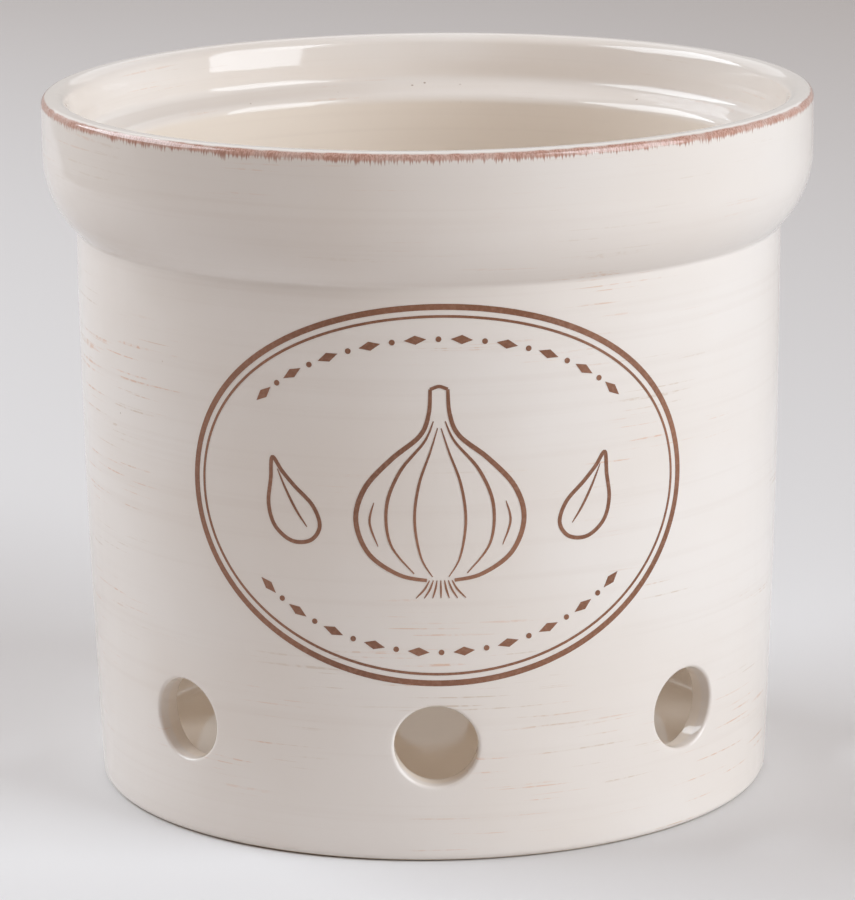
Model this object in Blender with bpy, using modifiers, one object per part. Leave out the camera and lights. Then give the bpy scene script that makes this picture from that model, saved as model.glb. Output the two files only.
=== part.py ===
"""Open garlic keeper: a one-piece stoneware crock with a collar, a shouldered mouth and a row
of vent holes, and the oval border lines of the transfer print on its front.

Metres, +Z up. The origin is the middle of the foot, on the surface that the crock stands on,
and the print faces -Y.
"""

import math

import bmesh
import bpy
from mathutils import Matrix, Vector

# Crock, outside
RIM_DIAMETER = 0.140
HEIGHT = 0.127
COLLAR_HEIGHT = 0.0153
COLLAR_OVERHANG = 0.0058
COLLAR_ROUND = 0.014
TUCK_DROP = 0.0102
NECK_ROUND = 0.003
WALL_TAPER = 0.0024
WALL_BULGE = 0.0006
FOOT_ROUND = 0.0015

# Crock, inside
WALL = 0.0046
RIM_WALL = 0.0053
LIP_OUTER_ROUND = 0.0016
LIP_INNER_ROUND = 0.0018
MOUTH_DEPTH = 0.0088
MOUTH_FLARE = 0.0006
MOUTH_ROUND = 0.002
SHOULDER_DROP = 0.0022
SHOULDER_ROUND = 0.0022
FLOOR = 0.0048
FLOOR_ROUND = 0.007

# Foot ring under the floor
FOOT_RING_WIDTH = 0.006
FOOT_RECESS = 0.0012
RECESS_ROUND = 0.0005

# Vent holes
VENT_COUNT = 8
VENT_DIAMETER = 0.0145
VENT_HEIGHT = 0.0218
VENT_EDGE_ROUND = 0.0008
CUT_OVERRUN = 0.004
WELD = 0.00001

# Transfer print on the front, measured along the wall, between the vents and the neck
PRINT_WIDTH = 0.0913
PRINT_ABOVE_VENTS = 0.0039
PRINT_BELOW_NECK = 0.00185
PRINT_SHIFT = 0.0011
BORDER_LINE = 0.0010
INNER_LINE = 0.0005
LINE_SPACING = 0.0016
PRINT_THICKNESS = 0.0003
PRINT_GAP = 0.0003

# Facets
TURN_STEPS = 64
WALL_STEPS = 5
VENT_SIDES = 24
OVAL_POINTS = 56
VENT_EDGE_ANGLE = math.radians(50)

# What follows from the sizes above
RIM_RADIUS = RIM_DIAMETER / 2
MOUTH_RADIUS = RIM_RADIUS - RIM_WALL
NECK_RADIUS = RIM_RADIUS - COLLAR_OVERHANG
FOOT_RADIUS = NECK_RADIUS - WALL_TAPER
COLLAR_EDGE_Z = HEIGHT - COLLAR_HEIGHT
NECK_Z = COLLAR_EDGE_Z - TUCK_DROP
MOUTH_EDGE_Z = HEIGHT - MOUTH_DEPTH
SHOULDER_Z = MOUTH_EDGE_Z - SHOULDER_DROP
FLOOR_Z = FOOT_RECESS + FLOOR
RING_INNER_RADIUS = FOOT_RADIUS - FOOT_ROUND - FOOT_RING_WIDTH
PRINT_LOW_Z = VENT_HEIGHT + VENT_DIAMETER / 2 + PRINT_ABOVE_VENTS
PRINT_HIGH_Z = NECK_Z - PRINT_BELOW_NECK

GLAZE_COLOUR = (0.80, 0.74, 0.66, 1)
PRINT_COLOUR = (0.25, 0.12, 0.08, 1)


def clear_scene():
    for old in list(bpy.data.objects):
        bpy.data.objects.remove(old, do_unlink=True)


def new_collection(name):
    made = bpy.data.collections.new(name)
    bpy.context.scene.collection.children.link(made)
    return made


def material(name, colour, roughness):
    made = bpy.data.materials.new(name)
    made.use_nodes = True
    shader = made.node_tree.nodes["Principled BSDF"]
    shader.inputs["Base Color"].default_value = colour
    shader.inputs["Roughness"].default_value = roughness
    shader.inputs["Metallic"].default_value = 0
    made.diffuse_color = colour
    return made


def wall_radius(z):
    """Outside radius of the wall at height z: a slight taper to the foot with a slight swell."""
    up = z / NECK_Z
    return FOOT_RADIUS + WALL_TAPER * up + 4 * WALL_BULGE * up * (1 - up)


def wall_run(low, high, inset):
    """Corners up the wall between two heights, without its ends, inset from the outside."""
    heights = [low + (high - low) * step / WALL_STEPS for step in range(1, WALL_STEPS)]
    return [(wall_radius(z) - inset, z, 0, 0) for z in heights]


def rounded(corners):
    """Points of an outline whose corners are (radius, height, rounding, steps on it)."""
    places = [Vector((corner[0], corner[1])) for corner in corners]
    points = []
    for index, (_, _, rounding, steps) in enumerate(corners):
        place = places[index]
        if not rounding:
            points.append(place)
            continue
        back = (places[index - 1] - place).normalized()
        ahead = (places[index + 1] - place).normalized()
        half = back.angle(ahead) / 2
        centre = place + (back + ahead).normalized() * rounding / math.sin(half)
        first = place + back * rounding / math.tan(half) - centre
        last = place + ahead * rounding / math.tan(half) - centre
        sweep = first.angle_signed(last)
        for step in range(steps + 1):
            spoke = first.copy()
            spoke.rotate(Matrix.Rotation(-sweep * step / steps, 2))
            points.append(centre + spoke)
    return points


def crock_outline():
    """Half section of the crock, from the middle of its floor over the lip to under the foot."""
    floor_corner = wall_radius(FLOOR_Z) - WALL
    inside = wall_run(FLOOR_Z + FLOOR_ROUND, SHOULDER_Z - SHOULDER_ROUND, WALL)
    outside = wall_run(FOOT_ROUND, NECK_Z, 0)
    return rounded(
        [(0, FLOOR_Z, 0, 0), (floor_corner, FLOOR_Z, FLOOR_ROUND, 5)]
        + inside
        + [
            (wall_radius(SHOULDER_Z) - WALL, SHOULDER_Z, SHOULDER_ROUND, 3),
            (MOUTH_RADIUS, MOUTH_EDGE_Z, MOUTH_ROUND, 3),
            (MOUTH_RADIUS + MOUTH_FLARE, HEIGHT, LIP_INNER_ROUND, 3),
            (RIM_RADIUS, HEIGHT, LIP_OUTER_ROUND, 3),
            (RIM_RADIUS, COLLAR_EDGE_Z, COLLAR_ROUND, 5),
            (NECK_RADIUS, NECK_Z, NECK_ROUND, 3),
        ]
        + outside[::-1]
        + [
            (FOOT_RADIUS, 0, FOOT_ROUND, 3),
            (RING_INNER_RADIUS, 0, RECESS_ROUND, 2),
            (RING_INNER_RADIUS, FOOT_RECESS, RECESS_ROUND, 2),
            (0, FOOT_RECESS, 0, 0),
        ]
    )


def turned(name, points, closed, smooth, collection):
    """A turned solid: the outline, spun round Z, with the middle of a facet to the front."""
    count = len(points)
    edges = [(step, (step + 1) % count) for step in range(count if closed else count - 1)]
    mesh = bpy.data.meshes.new(name)
    mesh.from_pydata([(point[0], 0, point[1]) for point in points], edges, [])
    made = bpy.data.objects.new(name, mesh)
    collection.objects.link(made)
    spin = made.modifiers.new("Turn", "SCREW")
    spin.axis = "Z"
    spin.angle = 2 * math.pi
    spin.steps = spin.render_steps = TURN_STEPS
    spin.use_merge_vertices = True
    spin.merge_threshold = WELD
    spin.use_smooth_shade = smooth
    made.rotation_euler.z = math.pi / TURN_STEPS
    return made


def as_cutter(made):
    made.hide_render = True
    made.display_type = "WIRE"
    return made


def vent_cutter(index, collection):
    """One round bar through the wall, square to it, at its place in the ring of vents."""
    inner = wall_radius(VENT_HEIGHT) - WALL - CUT_OVERRUN
    outer = wall_radius(VENT_HEIGHT) + CUT_OVERRUN
    turn = 2 * math.pi * index / VENT_COUNT
    bpy.ops.mesh.primitive_cylinder_add(
        vertices=VENT_SIDES, radius=VENT_DIAMETER / 2, depth=outer - inner
    )
    bar = bpy.context.object
    bar.name = f"vent_cutter_{index + 1}"
    reach = (outer + inner) / 2
    bar.location = (reach * math.sin(turn), -reach * math.cos(turn), VENT_HEIGHT)
    bar.rotation_euler = (math.pi / 2, 0, turn)
    for holder in list(bar.users_collection):
        holder.objects.unlink(bar)
    collection.objects.link(bar)
    return as_cutter(bar)


def cut_vents(crock, collection):
    for index in range(VENT_COUNT):
        cut = crock.modifiers.new(f"Vent {index + 1}", "BOOLEAN")
        cut.operation = "DIFFERENCE"
        cut.solver = "EXACT"
        cut.object = vent_cutter(index, collection)
    ease = crock.modifiers.new("Vent edges", "BEVEL")
    ease.width = VENT_EDGE_ROUND
    ease.segments = 2
    ease.limit_method = "ANGLE"
    ease.angle_limit = VENT_EDGE_ANGLE
    ease.harden_normals = True


def oval_spline(curve, grow):
    """A closed oval on the wall, as seen square from the front, grown by this much all round."""
    centre_z = (PRINT_HIGH_Z + PRINT_LOW_Z) / 2
    half_width = PRINT_WIDTH / 2 + grow
    half_height = (PRINT_HIGH_Z - PRINT_LOW_Z) / 2 + grow
    around = wall_radius(centre_z)
    spline = curve.splines.new("POLY")
    spline.points.add(OVAL_POINTS - 1)
    spline.use_cyclic_u = True
    for index, point in enumerate(spline.points):
        turn = 2 * math.pi * index / OVAL_POINTS
        along = PRINT_SHIFT + half_width * math.cos(turn)
        up = half_height * math.sin(turn)
        point.co = (around * math.sin(along / around), centre_z + up, 0, 1)


def oval_prism(name, inset, line, collection):
    """A ring of this line width, extruded back through the front of the wall."""
    curve = bpy.data.curves.new(name, "CURVE")
    curve.dimensions = "2D"
    curve.fill_mode = "BOTH"
    oval_spline(curve, line / 2 - inset)
    oval_spline(curve, -line / 2 - inset)
    edge_turn = (PRINT_WIDTH / 2 + PRINT_SHIFT + line) / NECK_RADIUS
    front = NECK_RADIUS + CUT_OVERRUN
    back = FOOT_RADIUS * math.cos(edge_turn) - CUT_OVERRUN
    curve.extrude = (front - back) / 2
    guide = bpy.data.objects.new(name + "_guide", curve)
    guide.location = (0, -(front + back) / 2, 0)
    guide.rotation_euler = (math.pi / 2, 0, 0)
    collection.objects.link(guide)
    bpy.context.view_layer.update()
    graph = bpy.context.evaluated_depsgraph_get()
    mesh = bpy.data.meshes.new_from_object(guide.evaluated_get(graph))
    weld = bmesh.new()
    weld.from_mesh(mesh)
    bmesh.ops.remove_doubles(weld, verts=weld.verts, dist=WELD)
    bmesh.ops.recalc_face_normals(weld, faces=weld.faces)
    weld.to_mesh(mesh)
    weld.free()
    made = bpy.data.objects.new(name, mesh)
    made.matrix_world = guide.matrix_world
    collection.objects.link(made)
    bpy.data.objects.remove(guide)
    return as_cutter(made)


def print_line(name, inset, line, collection, cutters):
    """A line of the print: a thin turned skin over the wall, kept only inside its oval ring."""
    low = PRINT_LOW_Z - line - CUT_OVERRUN
    run = [low + (NECK_Z - low) * step / WALL_STEPS for step in range(WALL_STEPS + 1)]
    face = PRINT_GAP + PRINT_THICKNESS
    outer = [(wall_radius(z) + face, z) for z in reversed(run)]
    inner = [(wall_radius(z) + PRINT_GAP, z) for z in run]
    skin = turned(name, outer + inner, True, False, collection)
    keep = skin.modifiers.new("Oval", "BOOLEAN")
    keep.operation = "INTERSECT"
    keep.solver = "EXACT"
    keep.object = oval_prism(name + "_prism", inset, line, cutters)
    return skin


def main():
    clear_scene()
    parts = new_collection("garlic_keeper")
    cutters = new_collection("garlic_keeper_cutters")
    glaze = material("cream_glaze", GLAZE_COLOUR, 0.12)
    print_brown = material("brown_print", PRINT_COLOUR, 0.3)

    crock = turned("crock", crock_outline(), False, True, parts)
    cut_vents(crock, cutters)
    crock.data.materials.append(glaze)

    border = print_line("oval_border", 0, BORDER_LINE, parts, cutters)
    border.data.materials.append(print_brown)
    inner = print_line("oval_inner_line", LINE_SPACING, INNER_LINE, parts, cutters)
    inner.data.materials.append(print_brown)


main()
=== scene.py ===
"""Looks of the open garlic keeper: the glazed crock with its vents, and the print on its front.

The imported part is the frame. Its three nodes are each replaced by a finer piece in the same
place. Metres, +Z up; the print faces -Y.
"""

import math

import bpy
from mathutils import Euler, Matrix, Vector, noise


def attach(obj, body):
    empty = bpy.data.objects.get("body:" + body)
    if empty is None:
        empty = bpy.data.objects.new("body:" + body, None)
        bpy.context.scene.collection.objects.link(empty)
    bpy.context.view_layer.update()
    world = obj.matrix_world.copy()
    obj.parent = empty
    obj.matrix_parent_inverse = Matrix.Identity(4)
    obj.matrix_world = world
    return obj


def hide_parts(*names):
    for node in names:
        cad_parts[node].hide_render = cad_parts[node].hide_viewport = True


MM = 0.001

# Crock, outside
RIM_RADIUS = 70 * MM
HEIGHT = 127 * MM
COLLAR_EDGE_Z = 108.8 * MM
COLLAR_ROUND = 18.5 * MM
NECK_RADIUS = 64.2 * MM
NECK_Z = 103 * MM
NECK_ROUND = 1.1 * MM
FOOT_RADIUS = 61.8 * MM
WALL_BULGE = 0.6 * MM
FOOT_ROUND = 1.5 * MM

# Crock, inside and below
WALL = 4.6 * MM
MOUTH_RADIUS = 64.7 * MM
MOUTH_FLARE = 0.9 * MM
MOUTH_BEND_RADIUS = MOUTH_RADIUS + 0.1 * MM
MOUTH_BEND_Z = 122 * MM
MOUTH_BEND_ROUND = 14 * MM
MOUTH_EDGE_Z = 118.2 * MM
MOUTH_ROUND = 2 * MM
SHOULDER_Z = 116 * MM
SHOULDER_ROUND = 2.2 * MM
LIP_INNER_ROUND = 2.2 * MM
LIP_OUTER_ROUND = 1.4 * MM
FLOOR_Z = 6 * MM
FLOOR_ROUND = 7 * MM
RING_RADIUS = 54.3 * MM
RECESS_Z = 1.2 * MM
RECESS_ROUND = 0.5 * MM

# Rows of the crock's mesh that lie between its corners
COLLAR_ROW_Z = 121 * MM
WALL_TOP_ROW_Z = 100 * MM
WALL_LOW_ROW_Z = 3 * MM
INSIDE_TOP_ROW_Z = 110 * MM
FLOOR_ROW_RADIUS = 48 * MM
RECESS_ROW_RADIUS = 50 * MM

# Vents. Each strays up or down a little, less at its inner end, as if cut by hand
VENT_COUNT = 8
VENT_RADIUS = 7.35 * MM
VENT_Z = 21.8 * MM
VENT_EDGE = 0.65 * MM
VENT_STRAY = [stray * MM for stray in (-0.55, 0.55, 0.1, -0.2, 0.15, 0.0, 0.2, -0.35)]
INNER_STRAY = 0.65

# Mesh of the crock: columns round it, the square window of cells that holds each vent (cells
# along a side, and half heights), and the steps of the patch, the rounded edge and the bore
COLUMNS = 288
WINDOW = 16
OUTER_WINDOW = 11 * MM
INNER_WINDOW = 8.6 * MM
PATCH_RINGS = 5
EDGE_RINGS = 6
BORE_RINGS = 3
SEAM_TURN = 0.02

# Uneven surface of the glaze, which evens out towards the foot from WAVE_FADE_Z down
WAVE = 0.07 * MM
WAVE_SCALE = 45
WAVE_FADE_Z = 4 * MM

# Print, measured along the wall from its centre
PRINT_Z = 66.3 * MM
PRINT_SHIFT = 1.1 * MM
OVAL_HALF_WIDTH = 45.65 * MM
OVAL_HALF_HEIGHT = 33.35 * MM
BORDER_LINE = 1.05 * MM
INNER_LINE = 0.46 * MM
LINE_SPACING = 1.65 * MM
INK_LIFT = 0.05 * MM
INK_SINK = 0.05 * MM
OVAL_STEPS = 240
CURVE_STEPS = 8
CLOVE_AT = (26 * MM, -2 * MM)
CLOVE_TILT = math.radians(-22)
GARLAND_HALF_WIDTH = OVAL_HALF_WIDTH - 6.2 * MM
GARLAND_HALF_HEIGHT = OVAL_HALF_HEIGHT - 5.6 * MM
GARLAND_SPREAD = math.radians(104)
GARLAND_COUNT = 19

# Stage: how far the paper reaches, and the lamps' aim and tints
PAPER_SIDE, PAPER_FRONT, PAPER_BACK = 0.5, 0.42, 3.0
LAMP_AIM_Z = 70 * MM
SIDE_TINT = (0.92, 1, 1.08)
FILL_TINT = (0.96, 1, 1.04)


def wall_radius(z):
    """Outside radius of the wall: a slight taper to the foot with a slight swell."""
    up = z / NECK_Z
    taper = NECK_RADIUS - FOOT_RADIUS
    return FOOT_RADIUS + taper * up + 4 * WALL_BULGE * up * (1 - up)


def wave(place):
    """How far the glaze stands off its true form at a place, none at the foot."""
    rise = min(max(place.z / WAVE_FADE_Z, 0), 1)
    return WAVE * rise * noise.noise(place * WAVE_SCALE)


def waved(place):
    """The place, moved in or out from the axis by the wave."""
    out = Vector((place.x, place.y, 0))
    if out.length < MM:
        return place
    return place + out.normalized() * wave(place)


def spaced(low, high, steps):
    """Evenly spaced values from low to high, both included."""
    return [low + (high - low) * step / steps for step in range(steps + 1)]


def rounded(corners):
    """Points of an outline whose corners are (radius, height, rounding, steps on it)."""
    places = [Vector(corner[:2]) for corner in corners]
    points = []
    for index, (_, _, rounding, steps) in enumerate(corners):
        place = places[index]
        if not rounding:
            points.append(place)
            continue
        back = (places[index - 1] - place).normalized()
        ahead = (places[index + 1] - place).normalized()
        half = back.angle(ahead) / 2
        centre = place + (back + ahead).normalized() * rounding / math.sin(half)
        first = place + back * rounding / math.tan(half) - centre
        last = place + ahead * rounding / math.tan(half) - centre
        sweep = first.angle_signed(last)
        for step in range(steps + 1):
            spoke = first.copy()
            spoke.rotate(Matrix.Rotation(-sweep * step / steps, 2))
            points.append(centre + spoke)
    return points


def wall_run(heights, inset):
    """Plain outline points at these heights, this far in from the wall's outside."""
    return [(wall_radius(z) - inset, z, 0, 0) for z in heights]


def crock_outline():
    """Half section from the middle of the floor over the lip to under the foot, with the rows at
    which the inner and the outer window of the vents start."""
    inner_rows = spaced(VENT_Z - INNER_WINDOW, VENT_Z + INNER_WINDOW, WINDOW)
    outer_rows = spaced(VENT_Z + OUTER_WINDOW, VENT_Z - OUTER_WINDOW, WINDOW)
    inner = rounded(
        [(radius, FLOOR_Z, 0, 0) for radius in spaced(0, FLOOR_ROW_RADIUS, 6)]
        + [(wall_radius(FLOOR_Z) - WALL, FLOOR_Z, FLOOR_ROUND, 12)]
        + wall_run(inner_rows[:1], WALL)
    )
    start_inner = len(inner) - 1
    points = inner + rounded(
        wall_run(inner_rows[1:] + spaced(inner_rows[-1], INSIDE_TOP_ROW_Z, 26)[1:], WALL)
        + [
            (wall_radius(SHOULDER_Z) - WALL, SHOULDER_Z, SHOULDER_ROUND, 8),
            (MOUTH_RADIUS, MOUTH_EDGE_Z, MOUTH_ROUND, 8),
            (MOUTH_BEND_RADIUS, MOUTH_BEND_Z, MOUTH_BEND_ROUND, 6),
            (MOUTH_RADIUS + MOUTH_FLARE, HEIGHT, LIP_INNER_ROUND, 10),
            (RIM_RADIUS, HEIGHT, LIP_OUTER_ROUND, 10),
            (RIM_RADIUS, COLLAR_ROW_Z, 0, 0),
            (RIM_RADIUS, COLLAR_EDGE_Z, COLLAR_ROUND, 28),
            (NECK_RADIUS, NECK_Z, NECK_ROUND, 8),
        ]
        + wall_run(spaced(WALL_TOP_ROW_Z, outer_rows[0], 24), 0)
    )
    start_outer = len(points) - 1
    points += rounded(
        wall_run(outer_rows[1:] + spaced(outer_rows[-1], WALL_LOW_ROW_Z, 4)[1:], 0)
        + [
            (FOOT_RADIUS, 0, FOOT_ROUND, 8),
            (RING_RADIUS, 0, RECESS_ROUND, 4),
            (RING_RADIUS, RECESS_Z, RECESS_ROUND, 4),
        ]
        + [(radius, RECESS_Z, 0, 0) for radius in spaced(RECESS_ROW_RADIUS, 0, 6)]
    )
    return points, start_inner, start_outer


def window_loop(start, column, points):
    """The cells' corners round a window, anticlockwise as seen from outside: each as its (row,
    column) and its place (across, height). The loop starts level with the vent, on its right, and
    the seam's turn keeps rounding from moving that start."""
    loop = []
    for row in range(WINDOW + 1):
        for step in range(WINDOW + 1):
            if row in (0, WINDOW) or step in (0, WINDOW):
                radius, z = points[start + row]
                turn = 2 * math.pi * (step - WINDOW / 2) / COLUMNS
                across = radius * math.sin(turn)
                angle = math.atan2(z - VENT_Z, across)
                key = (angle + SEAM_TURN) % (2 * math.pi)
                place = (start + row, (column + step) % COLUMNS)
                loop.append((key, place, Vector((across, z))))
    loop.sort(key=lambda entry: entry[0])
    return [entry[1:] for entry in loop]


def vent_rings(outer_edge, inner_edge, stray):
    """Rings of points (across, in or out, height) from the outer window to the inner one."""
    angles = [math.atan2(at.y - VENT_Z, at.x) for at in outer_edge]

    def circle(radius, angle, lift):
        return Vector((radius * math.cos(angle), VENT_Z + lift + radius * math.sin(angle)))

    def outer_y(at):
        return -math.sqrt(wall_radius(at.y) ** 2 - at.x**2)

    def inner_y(at):
        return -math.sqrt((wall_radius(at.y) - WALL) ** 2 - at.x**2)

    rings = []
    wide = VENT_RADIUS + VENT_EDGE
    for step in range(1, PATCH_RINGS):
        share = step / PATCH_RINGS
        flat = [edge.lerp(circle(wide, a, stray), share) for edge, a in zip(outer_edge, angles)]
        rings.append([Vector((at.x, outer_y(at), at.y)) for at in flat])
    turns = [math.pi / 2 * step / EDGE_RINGS for step in range(EDGE_RINGS + 1)]
    for turn in turns:
        ring = []
        for angle in angles:
            at = circle(wide - VENT_EDGE * math.sin(turn), angle, stray)
            deep = VENT_EDGE * (1 - math.cos(turn))
            ring.append(Vector((at.x, outer_y(at) + deep, at.y)))
        rings.append(ring)
    inner_rings = []
    for turn in reversed(turns):
        ring = []
        for angle in angles:
            at = circle(wide - VENT_EDGE * math.sin(turn), angle, INNER_STRAY * stray)
            deep = VENT_EDGE * (1 - math.cos(turn))
            ring.append(Vector((at.x, inner_y(at) - deep, at.y)))
        inner_rings.append(ring)
    for step in range(1, BORE_RINGS):
        share = step / BORE_RINGS
        rings.append([a.lerp(b, share) for a, b in zip(rings[-1], inner_rings[0])])
    rings += inner_rings
    for step in range(1, PATCH_RINGS):
        share = step / PATCH_RINGS
        flat = [
            circle(wide, a, INNER_STRAY * stray).lerp(edge, share)
            for edge, a in zip(inner_edge, angles)
        ]
        rings.append([Vector((at.x, inner_y(at), at.y)) for at in flat])
    return rings


def crock_mesh():
    """The crock as one closed mesh: a turned grid with a hole patched into it for each vent."""
    points, start_inner, start_outer = crock_outline()
    last = len(points) - 1
    places = [Vector((0, 0, points[0].y)), Vector((0, 0, points[last].y))]
    number = {}
    for row in range(1, last):
        for column in range(COLUMNS):
            turn = 2 * math.pi * column / COLUMNS
            radius, z = points[row]
            number[row, column] = len(places)
            places.append(Vector((radius * math.sin(turn), -radius * math.cos(turn), z)))
    faces = []
    for column in range(COLUMNS):
        beside = (column + 1) % COLUMNS
        faces.append((0, number[1, column], number[1, beside]))
        faces.append((1, number[last - 1, beside], number[last - 1, column]))
    pitch = COLUMNS // VENT_COUNT
    for row in range(1, last - 1):
        cut = any(0 <= row - start < WINDOW for start in (start_inner, start_outer))
        for column in range(COLUMNS):
            if cut and (column + WINDOW // 2) % pitch < WINDOW:
                continue
            beside = (column + 1) % COLUMNS
            corners = ((row, column), (row + 1, column), (row + 1, beside), (row, beside))
            faces.append(tuple(number[corner] for corner in corners))
    for vent in range(VENT_COUNT):
        column = vent * pitch - WINDOW // 2
        outer = window_loop(start_outer, column, points)
        inner = window_loop(start_inner, column, points)
        around = Matrix.Rotation(2 * math.pi * vent / VENT_COUNT, 3, "Z")
        rings = [[number[place] for place, _ in outer]]
        edges = [at for _, at in outer], [at for _, at in inner]
        for ring in vent_rings(*edges, VENT_STRAY[vent]):
            rings.append(list(range(len(places), len(places) + len(ring))))
            places.extend(around @ place for place in ring)
        rings.append([number[place] for place, _ in inner])
        for ring, after in zip(rings, rings[1:]):
            for step, corner in enumerate(ring):
                beside = (step + 1) % len(ring)
                faces.append((corner, ring[beside], after[beside], after[step]))
    return [waved(place) for place in places], faces


def piece(name, places, faces, material, slot, smooth=True):
    """A mesh of the object that rides on its body and takes the finish of a material slot."""
    mesh = bpy.data.meshes.new(name)
    mesh.from_pydata(places, [], faces)
    if smooth:
        mesh.shade_smooth()
    mesh.materials.append(material)
    made = bpy.data.objects.new(name, mesh)
    bpy.context.scene.collection.objects.link(made)
    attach(made, "root")
    return made


def on_wall(along, up, lift):
    """The place on the glaze this far along the wall and up from the middle of the print."""
    z = PRINT_Z + up
    turn = (PRINT_SHIFT + along) / wall_radius(PRINT_Z)
    radius = wall_radius(z)
    base = Vector((radius * math.sin(turn), -radius * math.cos(turn), z))
    return base + Vector((base.x, base.y, 0)).normalized() * (wave(base) + lift)


def oval(grow):
    """Points of an oval round the middle of the print, grown by this much, anticlockwise."""
    turns = [2 * math.pi * step / OVAL_STEPS for step in range(OVAL_STEPS)]
    wide, high = OVAL_HALF_WIDTH + grow, OVAL_HALF_HEIGHT + grow
    return [Vector((wide * math.cos(turn), high * math.sin(turn))) for turn in turns]


def curve_through(knots, closed=False):
    """Points of a smooth curve through the knots."""
    count = len(knots)
    points = []
    for index in range(count if closed else count - 1):
        if closed:
            near = [Vector(knots[(index + shift) % count]) for shift in (-1, 0, 1, 2)]
        else:
            near = [Vector(knots[min(max(index + shift, 0), count - 1)]) for shift in (-1, 0, 1, 2)]
        before, start, end, after = near
        for step in range(CURVE_STEPS):
            t = step / CURVE_STEPS
            points.append(
                0.5
                * (
                    2 * start
                    + (end - before) * t
                    + (2 * before - 5 * start + 4 * end - after) * t * t
                    + (3 * start - before - 3 * end + after) * t**3
                )
            )
    if not closed:
        points.append(Vector(knots[-1]))
    return points


class Ink:
    """Lines and filled shapes of the print, gathered as thin slabs on the wall."""

    def __init__(self):
        self.places = []
        self.faces = []

    def line(self, points, width, closed=False, taper=0.0):
        """A line along the points, which narrows towards its ends by the taper share."""
        count = len(points)
        start = len(self.places)
        for index, point in enumerate(points):
            before = points[index - 1] if closed or index else point
            after = points[(index + 1) % count] if closed or index < count - 1 else point
            ahead = (after - before).normalized()
            side = Vector((-ahead.y, ahead.x))
            thinner = 0 if closed else taper * (1 - math.sin(math.pi * index / (count - 1)))
            half = width / 2 * (1 - thinner)
            for offset, lift in ((1, -INK_SINK), (1, INK_LIFT), (-1, INK_LIFT), (-1, -INK_SINK)):
                at = point + side * half * offset
                self.places.append(on_wall(at.x, at.y, lift))
        for index in range(count if closed else count - 1):
            here, there = start + 4 * index, start + 4 * ((index + 1) % count)
            for corner in range(4):
                beside = (corner + 1) % 4
                self.faces.append((here + corner, here + beside, there + beside, there + corner))
        if not closed:
            self.faces.append(tuple(start + corner for corner in (3, 2, 1, 0)))
            self.faces.append(tuple(len(self.places) - 4 + corner for corner in range(4)))

    def shape(self, points):
        """A filled shape that its middle can see all of, with its points anticlockwise."""
        start = len(self.places)
        count = len(points)
        middle = sum(points, Vector((0, 0))) / count
        for lift in (INK_LIFT, -INK_SINK):
            self.places.append(on_wall(middle.x, middle.y, lift))
            self.places.extend(on_wall(point.x, point.y, lift) for point in points)
        low = start + count + 1
        for index in range(count):
            beside = (index + 1) % count
            self.faces.append((start, start + 1 + index, start + 1 + beside))
            self.faces.append((low, low + 1 + beside, low + 1 + index))
            upper = (start + 1 + beside, start + 1 + index)
            self.faces.append(upper + (low + 1 + index, low + 1 + beside))


def mirrored(points):
    """The points, mirrored left to right."""
    return [Vector((-point[0], point[1])) for point in points]


def moved(points, at, tilt=0.0):
    """The points, tilted about the origin and then moved there."""
    turn = Matrix.Rotation(tilt, 2)
    return [turn @ Vector(point) + Vector(at) for point in points]


def millimetres(*pairs):
    """Points given in millimetres."""
    return [Vector(pair) * MM for pair in pairs]


def draw_bulb(ink):
    """A garlic bulb in the middle of the oval, with its cloves, stalk and roots."""
    side = millimetres(
        (1.5, 19.0), (1.8, 14.6), (3.4, 10.8), (8.4, 6.6), (13.0, 1.4),
        (14.6, -4.4), (12.4, -10.2), (7.2, -13.8), (2.4, -14.8),
    )
    outline = curve_through(side)
    for points in (outline, mirrored(outline)):
        ink.line(points, 0.9 * MM, taper=0.35)
    ink.line(curve_through(millimetres((-1.5, 19.0), (0, 19.5), (1.5, 19.0))), 0.6 * MM)
    outer_clove = millimetres(
        (1.0, 13.4), (2.6, 9.8), (6.8, 4.6), (9.2, -1.6), (8.6, -8.4), (4.6, -13.6)
    )
    inner_clove = millimetres(
        (0.3, 12.2), (1.6, 8.0), (3.6, 2.2), (4.4, -4.2), (3.4, -10.6), (1.4, -14.2)
    )
    shade = millimetres((11.4, -1.0), (12.2, -4.6), (10.8, -8.8))
    for knots, width in ((outer_clove, 0.6 * MM), (inner_clove, 0.5 * MM), (shade, 0.4 * MM)):
        points = curve_through(knots)
        for way in (points, mirrored(points)):
            ink.line(way, width, taper=0.7)
    for step in range(-3, 4):
        root = millimetres((step * 0.65, -14.8), (step * 0.95, -16.4), (step * 1.45, -18.0))
        ink.line(curve_through(root), 0.34 * MM, taper=0.6)


def draw_clove(ink, side):
    """One loose clove on the right (side 1) or left (side -1), its point up and its back out."""
    outline = millimetres(
        (0.4, 8.8), (2.2, 5.4), (4.4, 1.4), (4.8, -2.6), (2.8, -6.0), (-0.6, -7.0),
        (-3.2, -5.2), (-3.4, -1.4), (-1.6, 2.8), (-0.4, 6.0),
    )
    ridge = millimetres((0.3, 6.6), (0.2, 2.6), (-0.2, -1.4), (-0.9, -4.6))
    for knots, width, closed in ((outline, 0.7 * MM, True), (ridge, 0.45 * MM, False)):
        points = moved(curve_through(knots, closed), CLOVE_AT, CLOVE_TILT)
        ink.line(points if side > 0 else mirrored(points), width, closed, taper=0.7)


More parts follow.
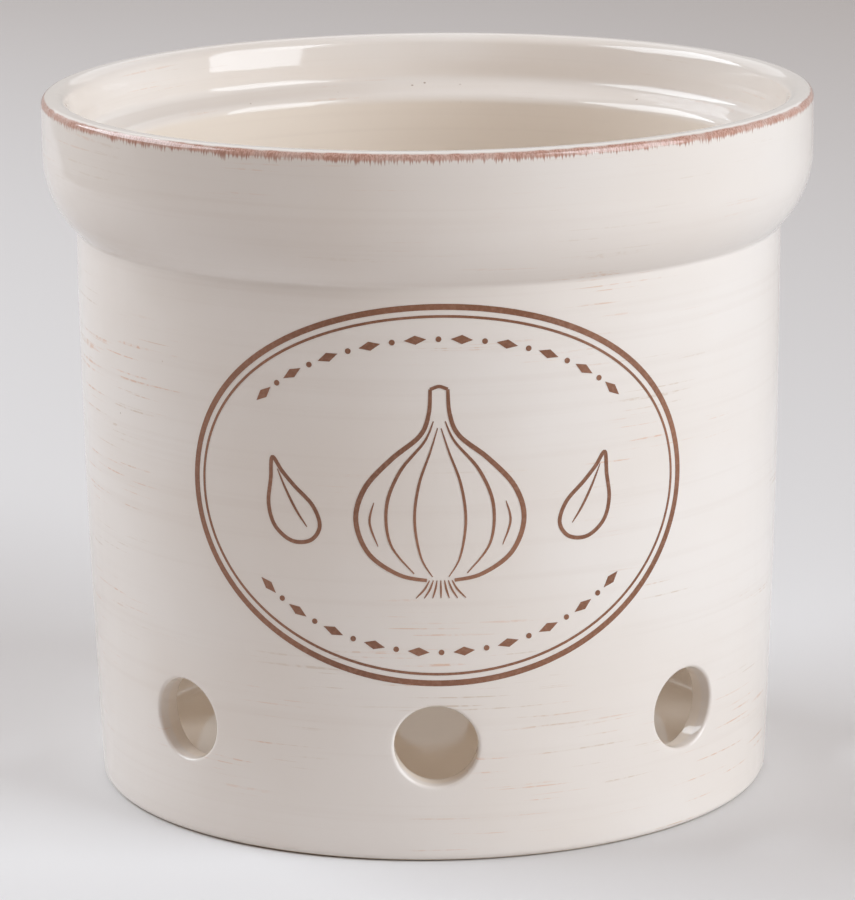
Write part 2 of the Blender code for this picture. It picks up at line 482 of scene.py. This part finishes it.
def draw_garland(ink, middle_turn):
    """A row of diamonds and dots that follows the oval, with its middle at this turn."""
    ring = [2 * math.pi * corner / 16 for corner in range(16)]
    dot = [Vector((math.cos(turn), math.sin(turn))) * 0.5 * MM for turn in ring]
    diamond = millimetres((1.9, 0), (0, 0.8), (-1.9, 0), (0, -0.8))
    for step in range(GARLAND_COUNT):
        turn = middle_turn + GARLAND_SPREAD * (step / (GARLAND_COUNT - 1) - 0.5)
        across, up = math.cos(turn), math.sin(turn)
        at = Vector((GARLAND_HALF_WIDTH * across, GARLAND_HALF_HEIGHT * up))
        if step % 2:
            ink.shape(moved(dot, at))
        else:
            slope = math.atan2(OVAL_HALF_HEIGHT * across, -OVAL_HALF_WIDTH * up)
            ink.shape(moved(diamond, at, slope))


def add(tree, kind, inputs=None, **settings):
    """A shader node with its inputs filled from values or other nodes' outputs."""
    made = tree.nodes.new(kind)
    for name, value in settings.items():
        setattr(made, name, value)
    for name, value in (inputs or {}).items():
        socket = made.inputs[name]
        if isinstance(value, bpy.types.NodeSocket):
            tree.links.new(value, socket)
        else:
            socket.default_value = value
    return made


def calc(tree, operation, *values, clamp=False):
    """One step of arithmetic on numbers or other nodes' outputs."""
    made = add(
        tree, "ShaderNodeMath", dict(enumerate(values)), operation=operation, use_clamp=clamp
    )
    return made.outputs[0]


def times(tree, product, *factors):
    """All the values multiplied."""
    for factor in factors:
        product = calc(tree, "MULTIPLY", product, factor)
    return product


def ramp(tree, value, low, high, out_low=0.0, out_high=1.0):
    """The value run smoothly from out_low to out_high as it goes from low to high."""
    inputs = {"Value": value, 1: low, 2: high, 3: out_low, 4: out_high}
    made = add(tree, "ShaderNodeMapRange", inputs, interpolation_type="SMOOTHSTEP")
    return made.outputs[0]


def blend(tree, share, first, second):
    """The first colour, with this share of the second in it."""
    made = tree.nodes.new("ShaderNodeMix")
    made.data_type = "RGBA"
    for name, value in (("Factor_Float", share), ("A_Color", first), ("B_Color", second)):
        socket = next(found for found in made.inputs if found.identifier == name)
        if isinstance(value, bpy.types.NodeSocket):
            tree.links.new(value, socket)
        else:
            socket.default_value = value
    return next(found for found in made.outputs if found.identifier == "Result_Color")


def noise_at(tree, place, stretch, detail=2.0):
    """Noise on the place, stretched by these numbers of features a metre."""
    scaled = add(
        tree, "ShaderNodeVectorMath", {0: place, 1: stretch}, operation="MULTIPLY"
    ).outputs[0]
    inputs = {"Vector": scaled, "Scale": 1.0, "Detail": detail, "Roughness": 0.5}
    return add(tree, "ShaderNodeTexNoise", inputs).outputs["Fac"]


def specks(tree, place, scale, rarity, near, far):
    """Scattered dots that fade from near their cell's point to far from it, in the cells whose
    chance is above the rarity. Gives how much of a dot there is, and the cell's second chance."""
    cells = add(tree, "ShaderNodeTexVoronoi", {"Vector": place, "Scale": scale})
    chance = add(tree, "ShaderNodeSeparateColor", {0: cells.outputs["Color"]})
    kept = ramp(tree, chance.outputs[0], rarity, rarity + 0.02)
    dot = ramp(tree, cells.outputs["Distance"], near, far, 1.0, 0.0)
    return times(tree, kept, dot), chance.outputs[1]


def colour(red, green, blue):
    """A colour as seen on screen, from 0 to 255, as the shader's own values."""

    def plain(value):
        value /= 255
        return value / 12.92 if value <= 0.04045 else ((value + 0.055) / 1.055) ** 2.4

    return (plain(red), plain(green), plain(blue), 1)


def new_material(name):
    """A new material with its node tree and its shader."""
    made = bpy.data.materials.new(name)
    made.use_nodes = True
    return made, made.node_tree, made.node_tree.nodes["Principled BSDF"]


def glaze_material():
    """Cream gloss glaze: mottled, with dry brush streaks, specks and a worn brown rim."""
    made, tree, shader = new_material("cream_glaze")
    place = add(tree, "ShaderNodeTexCoord").outputs["Object"]
    parts = add(tree, "ShaderNodeSeparateXYZ", {0: place})
    x, y, z = (parts.outputs[axis] for axis in "XYZ")
    radius = calc(tree, "SQRT", calc(tree, "MULTIPLY_ADD", x, x, calc(tree, "MULTIPLY", y, y)))

    # Mottled cream with faint brushing, and painted shade inside the crock: a warmer, slightly
    # darker cream that stands in for the light bounced about within it
    mottle = ramp(tree, noise_at(tree, place, (22, 22, 30)), 0.3, 0.7)
    cream = blend(tree, mottle, colour(241, 235, 229), colour(237, 229, 221))
    low = ramp(tree, z, SHOULDER_Z, SHOULDER_Z - 2 * MM)
    within = ramp(tree, radius, NECK_RADIUS - 4.2 * MM, NECK_RADIUS - 3.2 * MM, 1.0, 0.0)
    inside = times(tree, low, within)
    # Painted shade: the inside is tinted warmer and a little darker for its interreflected light,
    # not for a different glaze
    cream = blend(tree, inside, cream, colour(241, 231, 219))
    brushed = ramp(tree, noise_at(tree, place, (9, 9, 620), 3), 0.5, 0.74, 0.0, 0.14)
    cream = blend(tree, brushed, cream, colour(222, 210, 200))

    # Dry streaks in patches, fewer on the collar and none inside
    patches = ramp(tree, noise_at(tree, place, (26, 26, 46)), 0.45, 0.6)
    hairs = ramp(tree, noise_at(tree, place, (42, 42, 1900), 1), 0.64, 0.73)
    breaks = ramp(tree, noise_at(tree, place, (600, 600, 900), 2), 0.4, 0.6, 0.1, 0.66)
    on_collar = ramp(tree, z, NECK_Z, NECK_Z + 4 * MM, 1.0, 0.35)
    dry = times(tree, hairs, patches, breaks, on_collar, ramp(tree, inside, 0.0, 1.0, 1.0, 0.0))
    warm = ramp(tree, noise_at(tree, place, (35, 35, 90), 0), 0.42, 0.58)
    streak = blend(tree, warm, colour(212, 194, 174), colour(222, 172, 136))
    cream = blend(tree, dry, cream, streak)

    # A few pale brown specks
    speck, hue = specks(tree, place, 130.0, 0.80, 0.016, 0.032)
    tint = blend(tree, hue, colour(198, 164, 128), colour(150, 132, 112))
    cream = blend(tree, times(tree, speck, 0.6), cream, tint)

    # Small crumbs along the edge between the mouth and the shoulder
    crumb, _ = specks(tree, place, 420.0, 0.84, 0.06, 0.14)
    off = calc(tree, "ABSOLUTE", calc(tree, "SUBTRACT", z, MOUTH_EDGE_Z))
    ledge = ramp(tree, off, 1.5 * MM, 4 * MM, 1.0, 0.0)
    mouth = ramp(tree, radius, RIM_RADIUS - 3 * MM, RIM_RADIUS - 2 * MM, 1.0, 0.0)
    dirt = times(tree, crumb, patches, ledge, mouth, 0.7)
    cream = blend(tree, dirt, cream, colour(150, 122, 98))

    # Brown wash that runs down from the lip in short uneven drips, worn thin in places
    runs = noise_at(tree, place, (3400, 3400, 110), 1)
    patch = noise_at(tree, place, (90, 90, 40), 2)
    wander = noise_at(tree, place, (420, 420, 60), 2)
    length = ramp(tree, patch, 0.3, 0.7, 0.25, 1.15)
    reach = times(tree, ramp(tree, runs, 0.42, 0.78), length)
    reach = calc(tree, "MULTIPLY_ADD", wander, 0.7, reach)
    low_edge = calc(tree, "MULTIPLY_ADD", reach, -MM, HEIGHT - 0.95 * MM)
    below = ramp(tree, calc(tree, "SUBTRACT", z, low_edge), -0.2 * MM, 0.3 * MM)
    in_from_edge = calc(tree, "MULTIPLY_ADD", wander, 0.4 * MM, radius)
    outside = ramp(tree, in_from_edge, RIM_RADIUS - 0.6 * MM, RIM_RADIUS - 0.3 * MM)
    tips = ramp(tree, z, HEIGHT - 2.4 * MM, HEIGHT - 1.2 * MM, 0.4, 1.0)
    worn = times(tree, ramp(tree, wander, 0.3, 0.62, 0.75, 0.95), tips)
    wash = times(tree, below, outside, worn)
    brown = blend(tree, ramp(tree, runs, 0.35, 0.65), colour(212, 168, 152), colour(178, 126, 106))
    cream = blend(tree, wash, cream, brown)

    # Bare clay on the foot ring
    under = ramp(tree, z, 0.15 * MM, 0.5 * MM, 1.0, 0.0)
    ring = ramp(tree, radius, RING_RADIUS, RING_RADIUS + 0.4 * MM)
    bare = times(tree, under, ring)
    grain = noise_at(tree, place, (900, 900, 900), 4)
    clay = blend(tree, grain, colour(196, 176, 148), colour(170, 148, 120))
    tree.links.new(blend(tree, bare, cream, clay), shader.inputs["Base Color"])

    # High gloss, a little uneven, and matt where the clay is bare
    gloss = ramp(tree, noise_at(tree, place, (60, 60, 60), 3), 0.3, 0.7, 0.04, 0.08)
    rough = calc(tree, "MULTIPLY_ADD", bare, 0.7, gloss, clamp=True)
    tree.links.new(rough, shader.inputs["Roughness"])
    shader.inputs["IOR"].default_value = 1.5

    # Orange peel and brush marks in the glaze, and the clay's grain
    pitted = times(tree, grain, bare, 0.6)
    peel = calc(tree, "ADD", noise_at(tree, place, (120, 120, 120), 2), pitted)
    brush_marks = noise_at(tree, place, (45, 45, 520), 2)
    peel = calc(tree, "MULTIPLY_ADD", brush_marks, 0.3, peel)
    bump = add(tree, "ShaderNodeBump", {"Strength": 0.18, "Distance": 0.25 * MM, "Height": peel})
    tree.links.new(bump.outputs[0], shader.inputs["Normal"])
    return made


def ink_material():
    """Brown ceramic ink under the same gloss, a little uneven."""
    made, tree, shader = new_material("brown_print")
    place = add(tree, "ShaderNodeTexCoord").outputs["Object"]
    broad = ramp(tree, noise_at(tree, place, (30, 30, 30)), 0.35, 0.65)
    fine = ramp(tree, noise_at(tree, place, (1500, 1500, 1500), 3), 0.4, 0.75, 0.0, 0.35)
    brown = blend(tree, broad, colour(131, 86, 62), colour(152, 105, 79))
    tree.links.new(blend(tree, fine, brown, colour(178, 136, 112)), shader.inputs["Base Color"])
    rough = ramp(tree, noise_at(tree, place, (60, 60, 60), 3), 0.3, 0.7, 0.08, 0.14)
    tree.links.new(rough, shader.inputs["Roughness"])
    return made


def paper_material():
    """Pale matt studio paper."""
    made, _, shader = new_material("studio_paper")
    shader.inputs["Base Color"].default_value = colour(229, 228, 228)
    shader.inputs["Roughness"].default_value = 0.9
    shader.inputs["Specular IOR Level"].default_value = 0.1
    return made


def add_paper():
    """The paper under the crock, which ends a little way in front and at the sides."""
    mesh = bpy.data.meshes.new("paper")
    near = [(-PAPER_SIDE, -PAPER_FRONT, 0), (PAPER_SIDE, -PAPER_FRONT, 0)]
    far = [(PAPER_SIDE, PAPER_BACK, 0), (-PAPER_SIDE, PAPER_BACK, 0)]
    mesh.from_pydata(near + far, [], [(0, 1, 2, 3)])
    mesh.materials.append(paper_material())
    paper = bpy.data.objects.new("paper", mesh)
    bpy.context.scene.collection.objects.link(paper)


def add_softbox(name, azimuth, elevation, distance, size, power, tint):
    """A rectangular lamp that faces the crock. Azimuth 0 is in front, 90 on the right."""
    data = bpy.data.lights.new(name, "AREA")
    data.shape = "RECTANGLE"
    data.size, data.size_y = size
    data.energy = power
    data.color = tint
    lamp = bpy.data.objects.new(name, data)
    turn, rise = math.radians(azimuth), math.radians(elevation)
    out = Vector(
        (math.sin(turn) * math.cos(rise), -math.cos(turn) * math.cos(rise), math.sin(rise))
    )
    lamp.location = Vector((0, 0, LAMP_AIM_Z)) + out * distance
    lamp.rotation_euler = out.to_track_quat("Z", "Y").to_euler()
    bpy.context.scene.collection.objects.link(lamp)


def add_world():
    """A dim warm room round the paper, which is seen and mirrored as a pale background."""
    world = bpy.data.worlds.new("studio")
    bpy.context.scene.world = world
    world.use_nodes = True
    tree = world.node_tree
    path = add(tree, "ShaderNodeLightPath").outputs
    seen = calc(tree, "MAXIMUM", path["Is Camera Ray"], path["Is Glossy Ray"])
    seen = calc(tree, "MAXIMUM", seen, path["Is Transmission Ray"])
    ground = tree.nodes["Background"]
    room, backdrop = (0.155, 0.084, 0.037, 1), colour(195, 193, 191)
    tree.links.new(blend(tree, seen, room, backdrop), ground.inputs["Color"])
    ground.inputs["Strength"].default_value = 1.0


def add_camera():
    """The photograph's camera, from a fit to the rim, foot, wall and vents."""
    distance, pitch = 0.858, math.radians(13.47)
    roll, turn = math.radians(-0.62), math.radians(-0.28)
    target = Vector((-0.65 * MM, 0, 59.36 * MM))
    away = Vector((0, -math.cos(pitch), math.sin(pitch))) * distance
    around = Matrix.Rotation(turn, 3, "Z")
    data = bpy.data.cameras.new("camera")
    data.sensor_width = 36
    data.lens = 185.6
    data.clip_start = 0.05
    camera = bpy.data.objects.new("camera", data)
    camera.location = around @ (target + away)
    aim = Euler((math.pi / 2 - pitch, 0, turn)).to_matrix() @ Matrix.Rotation(roll, 3, "Z")
    camera.rotation_euler = aim.to_euler()
    bpy.context.scene.collection.objects.link(camera)
    bpy.context.scene.camera = camera


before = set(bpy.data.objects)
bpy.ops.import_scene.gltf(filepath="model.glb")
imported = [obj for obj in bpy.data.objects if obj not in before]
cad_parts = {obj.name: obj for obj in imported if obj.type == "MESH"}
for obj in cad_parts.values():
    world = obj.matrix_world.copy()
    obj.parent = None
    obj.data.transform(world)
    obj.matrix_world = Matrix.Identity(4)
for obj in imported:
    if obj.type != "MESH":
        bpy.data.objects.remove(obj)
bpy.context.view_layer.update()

glaze, brown_ink = glaze_material(), ink_material()
crock = piece("crock_glazed", *crock_mesh(), glaze, "cream_glaze")
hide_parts("crock")

border = Ink()
border.line(oval(0), BORDER_LINE, closed=True)
heavy = piece("border_print", border.places, border.faces, brown_ink, "brown_print", False)
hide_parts("oval_border")

inner = Ink()
inner.line(oval(-LINE_SPACING), INNER_LINE, closed=True)
fine = piece("inner_line_print", inner.places, inner.faces, brown_ink, "brown_print", False)
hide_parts("oval_inner_line")

motif = Ink()
draw_bulb(motif)
for side in (1, -1):
    draw_clove(motif, side)
for middle_turn in (math.pi / 2, -math.pi / 2):
    draw_garland(motif, middle_turn)
piece("motif_print", motif.places, motif.faces, brown_ink, "brown_print", False)

add_paper()
add_world()
add_softbox("left_softbox", -105, 37, 1.25, (1.19, 0.68), 12.7, SIDE_TINT)
add_softbox("right_softbox", 61, 27, 1.25, (0.8, 1.02), 12.3, SIDE_TINT)
add_softbox("front_softbox", 46, 34, 1.25, (0.52, 0.52), 1.3, FILL_TINT)
add_softbox("backdrop_softbox", 180, 33, 1.8, (2.6, 1.0), 4.2, FILL_TINT)
add_camera()
bpy.context.scene.view_settings.view_transform = "Standard"
